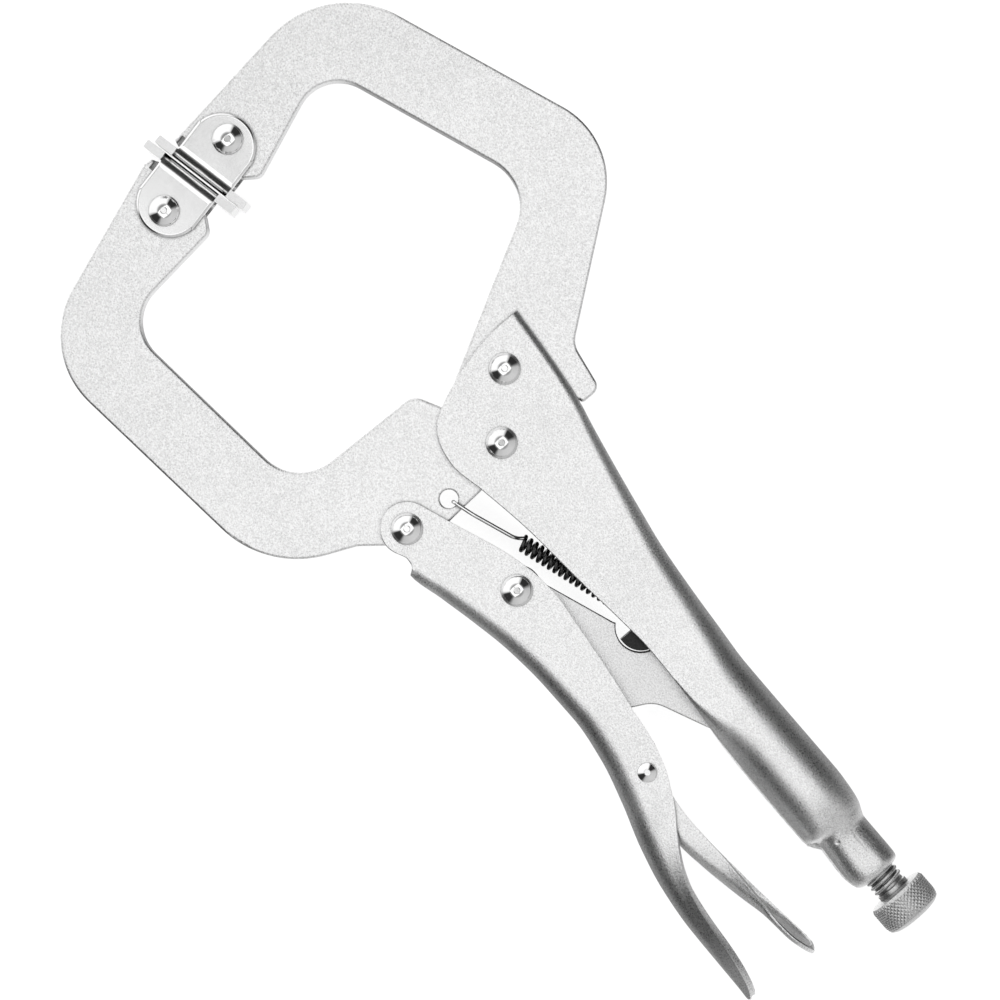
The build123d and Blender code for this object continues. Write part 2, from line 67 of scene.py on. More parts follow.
def at(x, y, z=0.0):
    """Point of the scene for a place; z of 0 is the middle of the tool's thickness."""
    return PIVOT + Vector((x, y, z)) * MM


def curve(points):
    """Smooth function through (x, y) points, without overshoot between them."""
    xs = np.array([p[0] for p in points], float)
    ys = np.array([p[1] for p in points], float)
    steps = np.diff(xs)
    slopes = np.diff(ys) / steps
    tangents = np.zeros(len(xs))
    tangents[0], tangents[-1] = slopes[0], slopes[-1]
    for i in range(1, len(xs) - 1):
        if slopes[i - 1] * slopes[i] > 0:
            w1 = 2 * steps[i] + steps[i - 1]
            w2 = steps[i] + 2 * steps[i - 1]
            tangents[i] = (w1 + w2) / (w1 / slopes[i - 1] + w2 / slopes[i])

    def value(x):
        x = min(max(x, xs[0]), xs[-1])
        i = min(int(np.searchsorted(xs, x, side="right")) - 1, len(xs) - 2)
        h = steps[i]
        t = (x - xs[i]) / h
        return float(
            (2 * t**3 - 3 * t**2 + 1) * ys[i]
            + (t**3 - 2 * t**2 + t) * h * tangents[i]
            + (-2 * t**3 + 3 * t**2) * ys[i + 1]
            + (t**3 - t**2) * h * tangents[i + 1]
        )

    return value


def stations(*spans):
    """Positions along a piece: (start, end, count) for each span."""
    out = []
    for start, end, count in spans:
        out += list(np.linspace(start, end, count, endpoint=False))
    out.append(spans[-1][1])
    return out


def swung(vector, angle):
    """Plane vector turned by an angle."""
    x, y = vector
    c, s = math.cos(angle), math.sin(angle)
    return np.array([x * c - y * s, x * s + y * c])


# Share of a straight run that one bend may take: of the first or last run, and of a run with a
# bend at each end
END_ROOM = 0.98
MIDDLE_ROOM = 0.49


def rounded(corners, radii, straight, bend):
    """Polyline with its inner corners rounded, as a fixed number of points.

    straight and bend are the numbers of points on each run and bend. The second result says for
    each point which span it starts: 0 for the first run, 1 for the first bend, 2 for the next run.
    """
    pts = [np.array(c, float) for c in corners]
    arcs = []
    for i in range(1, len(pts) - 1):
        a = pts[i - 1] - pts[i]
        b = pts[i + 1] - pts[i]
        la, lb = np.linalg.norm(a), np.linalg.norm(b)
        a, b = a / la, b / lb
        half = math.acos(max(-1.0, min(1.0, float(a @ b)))) / 2
        room_a = la * (END_ROOM if i == 1 else MIDDLE_ROOM)
        room_b = lb * (END_ROOM if i == len(pts) - 2 else MIDDLE_ROOM)
        reach = min(radii[i - 1] / math.tan(half), room_a, room_b)
        middle = (a + b) / np.linalg.norm(a + b)
        centre = pts[i] + middle * reach * math.tan(half) / math.sin(half)
        arcs.append((pts[i] + a * reach, pts[i] + b * reach, centre))
    out, spans = [], []
    start = pts[0]
    for k, (p, q, centre) in enumerate(arcs):
        out += [start + (p - start) * n / straight[k] for n in range(straight[k])]
        u, v = p - centre, q - centre
        turn = math.atan2(u[0] * v[1] - u[1] * v[0], float(u @ v))
        out += [centre + swung(u, turn * n / bend[k]) for n in range(bend[k])]
        spans += [2 * k] * straight[k] + [2 * k + 1] * bend[k]
        start = q
    out += [start + (pts[-1] - start) * n / straight[-1] for n in range(straight[-1] + 1)]
    spans += [2 * len(arcs)] * (straight[-1] + 1)
    return np.array(out), spans


def mesh_object(name, verts, faces, smooth_angle=40.0):
    """Smooth-shaded object, with edges sharper than the angle kept sharp."""
    mesh = bpy.data.meshes.new(name)
    mesh.from_pydata([tuple(v) for v in verts], [], faces)
    mesh.validate()
    mesh.update()
    obj = bpy.data.objects.new(name, mesh)
    bpy.context.scene.collection.objects.link(obj)
    shade_smooth(mesh, smooth_angle)
    return obj


def shade_smooth(mesh, smooth_angle):
    for polygon in mesh.polygons:
        polygon.use_smooth = True
    mesh.set_sharp_from_angle(angle=math.radians(smooth_angle))


def bevel(obj, width, segments=2, edge_angle=45.0, smooth_angle=50.0):
    """Small round on the hard edges of a piece, applied."""
    mod = obj.modifiers.new("bevel", "BEVEL")
    mod.width = width * MM
    mod.segments = segments
    mod.limit_method = "ANGLE"
    mod.angle_limit = math.radians(edge_angle)
    mod.harden_normals = False
    sharp = obj.data
    obj.data = bpy.data.meshes.new_from_object(obj.evaluated_get(bpy.context.evaluated_depsgraph_get()))
    obj.modifiers.clear()
    bpy.data.meshes.remove(sharp)
    shade_smooth(obj.data, smooth_angle)


def shell(name, rows, thickness, keep=lambda i, j: True):
    """Sheet metal from rows of places on its outside.

    The cell between rows i and i + 1 and points j and j + 1 is open where keep(i, j) is false.
    """
    grid = np.array(rows, float)
    long, wide = grid.shape[:2]
    normal = np.cross(np.gradient(grid, axis=0), np.gradient(grid, axis=1))
    size = np.linalg.norm(normal, axis=2, keepdims=True)
    size[size < 1e-9] = 1.0
    inner = grid - normal / size * thickness
    verts = [at(*p) for p in np.concatenate([grid, inner]).reshape(-1, 3)]
    kept = {(i, j) for i in range(long - 1) for j in range(wide - 1) if keep(i, j)}
    faces = []

    def v(i, j, inside=0):
        return (inside * long + i) * wide + j

    for i, j in sorted(kept):
        faces.append((v(i, j), v(i + 1, j), v(i + 1, j + 1), v(i, j + 1)))
        faces.append((v(i, j, 1), v(i, j + 1, 1), v(i + 1, j + 1, 1), v(i + 1, j, 1)))
        for neighbour, a, b in (
            ((i - 1, j), (i, j), (i, j + 1)),
            ((i + 1, j), (i + 1, j + 1), (i + 1, j)),
            ((i, j - 1), (i + 1, j), (i, j)),
            ((i, j + 1), (i, j + 1), (i + 1, j + 1)),
        ):
            if neighbour not in kept:
                faces.append((v(*a), v(*b), v(*b, 1), v(*a, 1)))
    used = sorted({k for f in faces for k in f})
    index = {k: i for i, k in enumerate(used)}
    return mesh_object(name, [verts[k] for k in used], [tuple(index[k] for k in f) for f in faces])


def skin(rings, around):
    """Faces that join rings of points one after another, with a flat cap at each end."""
    faces = []
    for i in range(rings - 1):
        for k in range(around):
            a, b = i * around + k, i * around + (k + 1) % around
            faces.append((a, a + around, b + around, b))
    last = (rings - 1) * around
    faces.append(tuple(range(around)))
    faces.append(tuple(last + k for k in reversed(range(around))))
    return faces


def on_screw(x, radius, angle):
    """Point at a radius and an angle round the screw's axis."""
    return at(x, SCREW_Y + radius * math.cos(angle), radius * math.sin(angle))


def turned(name, profile, around=96, smooth=35.0):
    """Round piece on the screw's axis, from (x, radius) points."""
    angles = [2 * math.pi * k / around for k in range(around)]
    verts = [on_screw(x, r, a) for x, r in profile for a in angles]
    return mesh_object(name, verts, skin(len(profile), around), smooth)


def tube(name, points, radius, sides=10):
    """Wire along a list of places."""
    pts = np.array(points, float)
    tangents = np.gradient(pts, axis=0)
    tangents /= np.linalg.norm(tangents, axis=1, keepdims=True)
    side = np.cross(tangents[0], (0.3, 0.2, 0.9))
    side /= np.linalg.norm(side)
    verts = []
    for p, t in zip(pts, tangents):
        side = side - t * (side @ t)
        side /= np.linalg.norm(side)
        up = np.cross(t, side)
        for k in range(sides):
            a = 2 * math.pi * k / sides
            verts.append(at(*(p + radius * (math.cos(a) * side + math.sin(a) * up))))
    # The rings run the other way round here, so each face is turned over
    faces = [(f[0],) + f[:0:-1] for f in skin(len(pts), sides)]
    return mesh_object(name, verts, faces, 60.0)


def smooth_path(corners, radius, step=0.25):
    """Polyline in space with its corners rounded, as points no more than about two steps apart."""
    pts = [np.array(c, float) for c in corners]
    out = [pts[0]]
    for i in range(1, len(pts) - 1):
        a, b = pts[i - 1] - pts[i], pts[i + 1] - pts[i]
        la, lb = np.linalg.norm(a), np.linalg.norm(b)
        reach = min(radius, la * 0.45, lb * 0.45)
        p, q = pts[i] + a / la * reach, pts[i] + b / lb * reach
        for t in np.linspace(0, 1, 9):
            out.append((1 - t) ** 2 * p + 2 * t * (1 - t) * pts[i] + t * t * q)
    out.append(pts[-1])
    dense = [out[0]]
    for a, b in zip(out, out[1:]):
        n = max(1, int(np.linalg.norm(b - a) / step))
        dense += [a + (b - a) * k / n for k in range(1, n + 1)]
    return dense


# Materials

# The Mix node has several sockets of each name, so these are chosen by number
NUMBER_A, NUMBER_B, NUMBER_OUT = 2, 3, 0
COLOUR_A, COLOUR_B, COLOUR_OUT = 6, 7, 2


def node(tree, kind, **values):
    """New node, with its settings and input values by name."""
    n = tree.nodes.new(kind)
    for k, v in values.items():
        if hasattr(n, k) and k not in n.inputs:
            setattr(n, k, v)
        else:
            n.inputs[k].default_value = v
    return n


def feed(tree, value, socket):
    """Give a socket a fixed value, or another node's output."""
    if isinstance(value, bpy.types.NodeSocket):
        tree.links.new(value, socket)
    else:
        socket.default_value = value


def grey(value):
    return (value, value, value, 1.0)


def remap(tree, value, low, high, start=0.0, end=1.0):
    """A value's range from low to high mapped onto start to end, and held there beyond it."""
    limits = {"From Min": low, "From Max": high, "To Min": start, "To Max": end}
    n = node(tree, "ShaderNodeMapRange", **limits)
    tree.links.new(value, n.inputs["Value"])
    return n.outputs["Result"]


def mixed(tree, blend, factor, first, second):
    """Two colours put together; factor and second may be fixed values."""
    n = node(tree, "ShaderNodeMix", data_type="RGBA", blend_type=blend)
    feed(tree, factor, n.inputs["Factor"])
    feed(tree, first, n.inputs[COLOUR_A])
    feed(tree, second, n.inputs[COLOUR_B])
    return n.outputs[COLOUR_OUT]


def vector(tree, operation, first, second=None, result="Vector"):
    """Vector maths on an output and a fixed vector."""
    n = node(tree, "ShaderNodeVectorMath", operation=operation)
    tree.links.new(first, n.inputs[0])
    if second is not None:
        n.inputs[1].default_value = second
    return n.outputs[result]


def noise(tree, where, scale, detail, roughness):
    n = node(tree, "ShaderNodeTexNoise", **{"Scale": scale, "Detail": detail, "Roughness": roughness})
    tree.links.new(where, n.inputs["Vector"])
    return n.outputs["Fac"]


def bump(tree, height, depth, under=None):
    """Normal of a surface raised by a height, over another such normal."""
    n = node(tree, "ShaderNodeBump", **{"Strength": 1.0, "Distance": depth})
    tree.links.new(height, n.inputs["Height"])
    if under is not None:
        tree.links.new(under, n.inputs["Normal"])
    return n.outputs["Normal"]


def painted_shade_share(tree, distance, low, high, darkest, inside=False):
    """Painted shade: share of light left where other surfaces are near; inside=True looks through the metal
    at corners.
    """
    n = node(tree, "ShaderNodeAmbientOcclusion", samples=6, inside=inside, Distance=distance)
    return remap(tree, n.outputs["AO"], low, high, darkest)


def pressed(tree, where, centre, half, radius, edge):
    """Height of a rounded box pressed into the surface: 0 inside it, rising to 1 over the edge's width."""
    folded = vector(tree, "ABSOLUTE", vector(tree, "SUBTRACT", where, centre))
    inset = vector(tree, "SUBTRACT", folded, [side - radius for side in half])
    outer = vector(tree, "MAXIMUM", inset, (0.0, 0.0, 0.0))
    far = vector(tree, "LENGTH", outer, result="Value")
    return remap(tree, far, radius - edge, radius + edge)


# Scale of the slow changes of tone, and how far the painted shade of crevices and cut edges reaches beside
# them
SLOW_SCALE = 45.0
CREVICE_SHADE_REACH = 1.1 * MM
EDGE_SHADE_REACH = 0.4 * MM


def steel(
    name, light, dark, rough, spread, grain, depth, metallic=1.0, slow_share=0.2, marks=(), edge_tone=1.0
):
    """Plated steel: fine blasted grain, slow changes of tone, and a roughness that varies with both.

    Crevices get painted shade. An edge tone under 1 also paints a thin shade line of that tone along cut
    edges.
    """
    mat = bpy.data.materials.new(name)
    mat.use_nodes = True
    tree = mat.node_tree
    shader = tree.nodes["Principled BSDF"]
    shader.inputs["Metallic"].default_value = metallic
    where = node(tree, "ShaderNodeTexCoord").outputs["Object"]
    fine = noise(tree, where, grain, detail=2.0, roughness=0.7)
    slow = noise(tree, where, SLOW_SCALE, detail=5.0, roughness=0.6)
    both = node(tree, "ShaderNodeMix", data_type="FLOAT")
    both.inputs["Factor"].default_value = slow_share
    tree.links.new(fine, both.inputs[NUMBER_A])
    tree.links.new(slow, both.inputs[NUMBER_B])
    pattern = both.outputs[NUMBER_OUT]
    tone = node(tree, "ShaderNodeValToRGB")
    for element, place, value in zip(tone.color_ramp.elements, (0.38, 0.6), (dark, light)):
        element.position = place
        element.color = grey(value)
    tree.links.new(pattern, tone.inputs["Fac"])
    # Painted shade: the base colour is darkened where other surfaces are near, as in crevices and under
    # overlapping parts
    shade = painted_shade_share(tree, CREVICE_SHADE_REACH, low=0.35, high=0.85, darkest=0.12)
    base = mixed(tree, "MULTIPLY", 1.0, tone.outputs["Color"], shade)
    # Painted shade: a thin dark line along cut edges, seen through the metal at corners
    if edge_tone < 1.0:
        line = painted_shade_share(tree, EDGE_SHADE_REACH, low=0.45, high=0.95, darkest=edge_tone, inside=True)
        base = mixed(tree, "MULTIPLY", 1.0, base, line)
    tree.links.new(base, shader.inputs["Base Color"])
    roughness = remap(tree, pattern, 0.35, 0.65, rough - spread, rough + spread)
    tree.links.new(roughness, shader.inputs["Roughness"])
    normal = bump(tree, fine, depth)
    for centre, half, radius, edge, dent in marks:
        normal = bump(tree, pressed(tree, where, centre, half, radius, edge), dent, normal)
    tree.links.new(normal, shader.inputs["Normal"])
    return mat


def satin(name, light=0.96, dark=0.64, rough=0.31, **more):
    """Blasted nickel plating, as on the jaws, the link and the pressed pieces."""
    return steel(name, light, dark, rough, 0.05, 2700.0, 0.08 * MM, slow_share=0.12, **more)


# Marks on the upper side of the handle's nose: centre, half size, corner radius, half the width of
# the edge, and depth
FACET = (at(137.4, 3.5, 6.0), (3.7 * MM, 1.3 * MM, 5.0 * MM), 0.8 * MM, 0.22 * MM, 0.05 * MM)
PUNCH = (at(133.5, -2.1, 6.5), (0.5 * MM, 0.5 * MM, 3.0 * MM), 0.5 * MM, 0.25 * MM, 0.18 * MM)
# Tone of the painted shade line along the cut edges of the jaws and the link
CUT_EDGE_PAINTED_SHADE = 0.35
SATIN = satin("satin_nickel", edge_tone=CUT_EDGE_PAINTED_SHADE)
PRESSED = satin("satin_nickel_pressed")
NOSE_SATIN = satin("satin_nickel_handle", marks=(FACET, PUNCH))
LINK = satin("satin_nickel_link", 0.90, 0.58, 0.34, edge_tone=CUT_EDGE_PAINTED_SHADE)
BRIGHT = steel("bright_nickel", 0.90, 0.84, 0.15, 0.03, 2500.0, 0.002 * MM, slow_share=0.6)
POLISHED = steel("polished_rivet", 0.92, 0.86, 0.08, 0.02, 2500.0, 0.001 * MM, slow_share=0.6)
ZINC = steel("zinc_screw", 0.72, 0.50, 0.36, 0.08, 2600.0, 0.03 * MM)
SPRING = steel("spring_wire", 0.10, 0.03, 0.30, 0.08, 2500.0, 0.01 * MM)
HOOK = steel("bright_wire", 0.95, 0.85, 0.14, 0.05, 2500.0, 0.006 * MM)
BLACK = steel("black_oxide", 0.035, 0.012, 0.5, 0.1, 2500.0, 0.03 * MM, metallic=0.6)


def dress(obj, material):
    obj.data.materials.clear()
    obj.data.materials.append(material)


def put(obj, body, slot, material, *nodes):
    """Give a piece its material and its body, and hide the CAD nodes that it stands for."""
    dress(obj, material)
    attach(obj, body)
    if nodes:
        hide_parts(*nodes)


# Handle: a channel over the jaws that closes into a tube and narrows to a nose

HANDLE_SHEET = 2.0
# The spine is open up to here, where the jaws stand between the handle's sides
SLOT_END = 5.0
# The seam's half width, and where the channel has closed enough for it to start
SEAM = 0.25
SEAM_START = 90.0
# One lip stands proud of the seam, and flares back to the section this far from it
LIP_FLARE = 6.0
# Span of the section, as rounded() numbers them, that is the spine
SPINE = 4
handle_high = curve([
    (-22.9, 25.2), (-10, 24.1), (5, 22.1), (12, 20.5), (24, 18.0), (36, 15.7), (48, 13.6),
    (60, 12.3), (72, 11.3), (84, 10.4), (95, 10.3), (120, 10.2), (124, 9.9), (126, 9.7), (128, 9.4),
    (130, 8.9), (132, 8.0), (133.5, 7.5), (144, 7.4), (146, 7.2), (146.8, 6.6), (147, 6.0),
])
handle_low = curve([
    (-22.95, 17.0), (-22.8, 15.0), (-22.1, 10.5), (-20.4, 3.6), (-17.2, -5.0), (-13.9, -9.9),
    (-9.2, -12.5), (-3.5, -13.4), (5.5, -11.8), (22.3, -9.4), (40, -8.1), (54, -6.8), (64, -6.1),
    (73, -6.3), (82, -6.95), (89.3, -7.5), (97, -7.95), (105, -8.15), (113.4, -8.3), (127.6, -8.35),
    (129.0, -8.1), (129.9, -7.45), (130.5, -6.4), (132, -6.0), (136, -6.25), (142, -6.6),
    (144.5, -6.3), (146.3, -5.7), (147, -4.6),
])
handle_width = curve([
    (-23, 7.3), (66, 7.3), (74, 7.9), (82, 8.8), (92, 9.4), (118, 9.4), (123, 9.15), (127, 8.5),
    (131, 7.6), (135, 6.95), (139, 6.75), (144.5, 6.7), (146.4, 6.4), (147, 5.6),
])
handle_spine_bend = curve([
    (-23, 2.15), (0, 2.4), (20, 3.4), (45, 4.8), (66, 6.2), (80, 8.2), (92, 9.4), (124, 9.4),
    (133.5, 6.7), (147, 5.6),
])
handle_curl = curve([
    (74, 0.3), (82, 1.5), (90, 4.4), (97, 7.6), (104, 9.1), (128, 9.1), (133, 6.4), (147, 5.4),
])
handle_lip_proud = curve([
    (-23, 0.0), (88, 0.0), (97, 0.45), (127.6, 0.45), (129, 0.55), (129.9, 1.1), (130.5, 1.7),
    (131.2, 1.7), (132.0, 1.2), (133, 0.6), (141, 0.5), (147, 0.2),
])
handle_x = stations(
    (-22.95, -22.0, 6), (-22.0, -12.0, 12), (-12.0, 4.0, 12), (4.0, 5.0, 2), (5.0, 66.0, 36),
    (66.0, 98.0, 32), (98.0, 124.0, 12), (124.0, 135.0, 30), (135.0, 145.0, 8), (145.0, 147.0, 8),
)


def make_handle():
    rows = []
    for x in handle_x:
        low, high, width = handle_low(x), handle_high(x), handle_width(x)
        curl = handle_curl(x)
        gap = max(width - curl, SEAM)
        corners = [(gap, low), (width, low), (width, high), (-width, high), (-width, low), (-gap, low)]
        lip = max(SEAM, curl) if x < SEAM_START else width
        spine = handle_spine_bend(x)
        section, spans = rounded(corners, [lip, spine, spine, lip], [3, 10, 8, 10, 3], [10, 12, 12, 10])
        proud = handle_lip_proud(x)
        for point in section:
            if point[0] < 0.0 and point[1] < SCREW_Y:
                point[1] -= proud * max(0.0, 1.0 + point[0] / LIP_FLARE)
        rows.append([(x, y, z) for z, y in section])

    def keep(i, j):
        return handle_x[i] >= SLOT_END - CLOSE or spans[j] != SPINE

    handle = shell("handle_sheet", rows, HANDLE_SHEET, keep)
    bevel(handle, 0.32, 3)
    put(handle, "handle", "handle_steel", NOSE_SATIN, "fixed_handle")


# Lever: two cheeks, one on each side of the moving jaw, joined by a web behind it, and a tail whose
# cheeks lean outwards

LEVER = Vector(joints["lever_pivot"]["pos_m"]) - PIVOT
LX, LY = LEVER.x / MM, LEVER.y / MM
LEVER_SHEET = 1.9
# The front is round its pivot, and each outline starts on it, this far along from the pivot
FRONT_R = 6.9
TOP_JOIN = -2.36
BOTTOM_JOIN = 1.0
WEB_START = 10.3
# Span of the section that is the web
WEB = 2
# A cheek that leans raises its rim by part of the sheet's thickness, so it is made lower by this share
# of the thickness times the sine of its lean, less this much
RIM_SHARE = 1.15
UPRIGHT = 0.3
FRONT = LX - FRONT_R
lever_top = curve([
    (LX + TOP_JOIN, LY + 6.484), (6.9, -23.15), (13, -20.85), (20.7, -18.0), (26, -16.5),
    (32.4, -15.3), (38, -15.0), (48.2, -16.0), (62.5, -17.7), (73, -19.3), (81.9, -20.4),
    (90, -22.7), (98.4, -27.0), (105.3, -32.0), (112, -36.2), (118, -38.4), (124, -39.5),
    (130, -40.2), (136, -40.7), (142, -41.5), (147, -42.7), (149, -43.7), (150.0, -45.0),
])
lever_bottom = curve([
    (LX + BOTTOM_JOIN, -39.53), (3.3, -39.1), (5.0, -38.3), (6.6, -37.7), (8.4, -37.9),
    (9.6, -38.8), (10.3, -39.9), (20, -37.8), (30, -35.6), (42, -33.5), (54, -32.6), (66, -32.5),
    (78, -34.0), (90, -37.2), (102, -41.2), (114, -44.0), (126, -45.3), (138, -45.6), (146, -45.75),
    (149, -45.9), (150.0, -45.5),
])
lever_width = curve([
    (-7, 7.3), (100, 7.3), (125, 7.2), (140, 6.8), (146, 5.8), (148.5, 4.4), (149.7, 2.6),
    (150.0, 1.2),
])
lever_bend = curve([
    (-7, 0.3), (9.6, 0.3), (10.3, 2.6), (30, 4.3), (60, 5.3), (85, 6.1), (105, 6.5), (130, 6.0),
    (150, 3.0),
])
lever_lean = curve([
    (-7, 0.0), (94, 0.0), (104, 8.0), (112, 20.0), (120, 33.0), (130, 45.0), (138, 54.0),
    (144, 60.0), (150, 62.0),
])
lever_x = stations(
    (FRONT + 0.02, FRONT + 0.8, 6), (FRONT + 0.8, LX + 4.0, 18), (LX + 4.0, WEB_START, 12),
    (WEB_START, 100.0, 56), (100.0, 144.0, 40), (144.0, 150.0, 20),
)


def lever_front(x):
    """Half the height of the round front."""
    return math.sqrt(max(FRONT_R**2 - (x - LX) ** 2, 0.0))


def make_lever():
    rows = []
    for x in lever_x:
        high = LY + lever_front(x) if x < LX + TOP_JOIN else lever_top(x)
        low = LY - lever_front(x) if x < LX + BOTTOM_JOIN else lever_bottom(x)
        width = lever_width(x)
        lean = math.tan(math.radians(lever_lean(x)))
        high -= RIM_SHARE * LEVER_SHEET * max(0.0, math.sin(math.atan(lean)) - UPRIGHT)
        rise = max(high - low, 0.4)
        foot = max(width - rise * lean, 0.5)
        corners = [(width, low + rise), (foot, low), (-foot, low), (-width, low + rise)]
        section, spans = rounded(corners, [lever_bend(x)] * 2, [10, 10, 10], [12, 12])
        rows.append([(x, y, z) for z, y in section[::-1]])
    spans = spans[::-1]

    def keep(i, j):
        return lever_x[i] >= WEB_START - CLOSE or not spans[j] == spans[j + 1] == WEB

    lever = shell("lever_sheet", rows, LEVER_SHEET, keep)
    bevel(lever, 0.36, 3)
    put(lever, "lever", "lever_steel", PRESSED, "lever")


# Release lever: a small channel. Towards its paddle the near side, which is the upper one as the
# tool lies, drops away, and the web slants down to the far side

RELEASE_SHEET = 1.3
# Height that a dropped side keeps
RIM = 1.3
release_top = curve([
    (75, -25.0), (82, -23.4), (90, -23.6), (97.6, -26.2), (106, -26.9), (114, -26.7), (122, -26.1),
    (130, -25.5), (138, -24.7), (144, -24.0), (149.2, -23.65), (150.5, -24.0), (151.1, -24.5),
    (151.4, -25.2),
])
release_bottom = curve([
    (75, -26.4), (84, -30.0), (96, -32.6), (107, -33.2), (116, -32.3), (124, -31.0), (132, -29.4),
    (136, -28.6), (144, -28.0), (148, -27.1), (150.2, -26.35), (151.0, -25.95), (151.4, -25.6),
])
release_near_drop = curve([
    (75, 0.0), (115, 0.0), (122, 0.16), (128, 0.36), (133, 0.62), (137, 0.93), (140, 1.0),
    (151.4, 1.0),
])
release_far_lift = curve([
    (75, 0.0), (128, 0.0), (136, 0.35), (142, 0.75), (148, 0.8), (151.4, 0.5),
])
release_width = curve([
    (75, 5.0), (120, 5.0), (138, 5.6), (146, 5.2), (149.4, 3.9), (150.9, 2.2), (151.4, 1.0),
])
release_lean = curve([
    (75, 0.0), (108, 0.0), (118, 10.0), (126, 22.0), (132, 22.0), (136, 10.0), (139, 0.0),
    (151.4, 0.0),
])
release_bend = curve([(75, 2.6), (112, 2.6), (124, 3.6), (134, 3.4), (139, 2.6), (151.4, 2.6)])
release_x = stations((75.2, 96.0, 12), (96.0, 146.0, 60), (146.0, 151.4, 24))


def make_release_lever():
    rows = []
    for x in release_x:
        low, high, width = release_bottom(x), release_top(x), release_width(x)
        spare = max(max(high - low, 0.5) - RIM, 0.0)
        near_top = high - release_near_drop(x) * spare
        far_low = low + release_far_lift(x) * spare
        foot = max(width - (near_top - low) * math.tan(math.radians(release_lean(x))), 0.4 * width)
        corners = [(width, near_top), (foot, low), (-width, far_low), (-width, high)]
        section, _ = rounded(corners, [release_bend(x)] * 2, [8, 12, 8], [10, 10])
        rows.append([(x, y, z) for z, y in section[::-1]])
    release = shell("release_sheet", rows, RELEASE_SHEET)
    bevel(release, 0.2)
    put(release, "release_lever", "lever_steel", PRESSED, "release_lever")


# Adjusting screw: a core with a helical thread, a plain collar and a knurled knob

SCREW_R = 4.5
ROOT_R = 3.8
COLLAR_R = SCREW_R - 0.12
PITCH = 1.5
# The ridge starts a little inside the core, so that no gap shows
RIDGE_ROOT = ROOT_R - 0.05
SCREW_TIP = (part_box("adjusting_screw")[0] - PIVOT).x / MM
THREAD_END = 151.9
KNOB_START = (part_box("screw_knob")[0] - PIVOT).x / MM
KNOB_END = (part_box("screw_knob")[1] - PIVOT).x / MM
KNOB_R = (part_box("screw_knob")[1] - PIVOT).z / MM


def make_core():
    profile = [
        (SCREW_TIP, ROOT_R - 0.6),
        (SCREW_TIP + 0.6, ROOT_R),
        (THREAD_END - 0.4, ROOT_R),
        (THREAD_END - 0.1, COLLAR_R),
        (KNOB_START + 0.8, COLLAR_R),
    ]
    put(turned("screw_core", profile), "screw", "screw_steel", ZINC, "adjusting_screw")


def make_thread():
    """Right-hand helical ridge, a rounded V, drawn along the screw, that rises and ends over half a turn."""
    per_turn = 48
    run_out = per_turn / 2
    start = SCREW_TIP + 0.9
    count = int((THREAD_END - SCREW_TIP - 1.2) / PITCH * per_turn)
    flank = [(-0.72, RIDGE_ROOT), (-0.5, SCREW_R - 0.4), (-0.28, SCREW_R - 0.1)]
    ridge = flank + [(0.0, SCREW_R)] + [(-dx, r) for dx, r in reversed(flank)]
    verts, faces = [], []
    for i in range(count + 1):
        fade = min(1.0, i / run_out, (count - i) / run_out)
        for dx, r in ridge:
            x = start + PITCH * i / per_turn + dx
            verts.append(on_screw(x, RIDGE_ROOT + (r - RIDGE_ROOT) * fade, 2 * math.pi * i / per_turn))
    k = len(ridge)
    for i in range(count):
        for j in range(k - 1):
            a = i * k + j
            faces.append((a, a + 1, a + k + 1, a + k))
    put(mesh_object("screw_thread", verts, faces, 60.0), "knob", "screw_steel", ZINC)


KNURLS = 40
KNURL_DEPTH = 0.18
# Half a groove's width, as a share of the distance between grooves
KNURL_HALF = 0.34
# Length and depth of the rounding at each end of the knurling
NEAR_ROUND = (0.7, 0.25)
FAR_ROUND = (2.2, 0.5)


def groove_depth(x, angle):
    """Share of their full depth that the crossed grooves have at a place on the knob."""
    twist = (x - (KNOB_START + KNOB_END) / 2) / (2 * math.pi * KNOB_R) * KNURLS
    u = (angle / (2 * math.pi) * KNURLS + twist) % 1.0
    v = (angle / (2 * math.pi) * KNURLS - twist) % 1.0
    return max(1 - min(u, 1 - u) / KNURL_HALF, 1 - min(v, 1 - v) / KNURL_HALF, 0.0)


def make_knob():
    """Knob with crossed helical grooves that leave small pyramids, between two plain rounded ends."""
    around = 400
    # Rings of (x, radius, share of the groove's depth)
    rings = [(KNOB_START + dx, r, 0.0) for dx, r in ((0.0, 4.0), (0.0, 6.3), (0.12, 6.9), (0.45, 7.6))]
    xs = np.linspace(KNOB_START + 0.9, KNOB_END - 1.3, 64)
    for x in xs:
        near = max(0.0, 1.0 - (x - xs[0]) / NEAR_ROUND[0])
        far = max(0.0, 1.0 - (xs[-1] - x) / FAR_ROUND[0])
        radius = KNOB_R - NEAR_ROUND[1] * near**2 - FAR_ROUND[1] * far**2
        rings.append((x, radius, 1.0 - 0.6 * max(near, far) ** 3))
    rings += [(KNOB_END - dx, r, 0.0) for dx, r in ((0.9, 7.15), (0.45, 6.3), (0.15, 5.0), (0.03, 3.0))]
    verts = []
    for x, r, cut in rings:
        for k in range(around):
            a = 2 * math.pi * k / around
            verts.append(on_screw(x, r - KNURL_DEPTH * cut * groove_depth(x, a), a))
    knob = mesh_object("knob_knurled", verts, skin(len(rings), around), 28.0)
    put(knob, "knob", "screw_steel", ZINC, "screw_knob")


# Return spring: a wire hook from the jaw's hole, a close coil, and a tail to the anchor

COIL_START = np.array([22.8, -12.8, 0.0])
COIL_END = np.array([53.5, -3.7, 0.0])
COIL_R = 1.85
WIRE_R = 0.54
TURNS = 19
# The coil narrows by this share of its radius towards the anchor
COIL_TAPER = 0.18
HOLE = (2.0, -19.6)
# The hook lies on the jaw's upper face
JAW_FACE = 5.0
HOOK_Z = JAW_FACE + 0.62


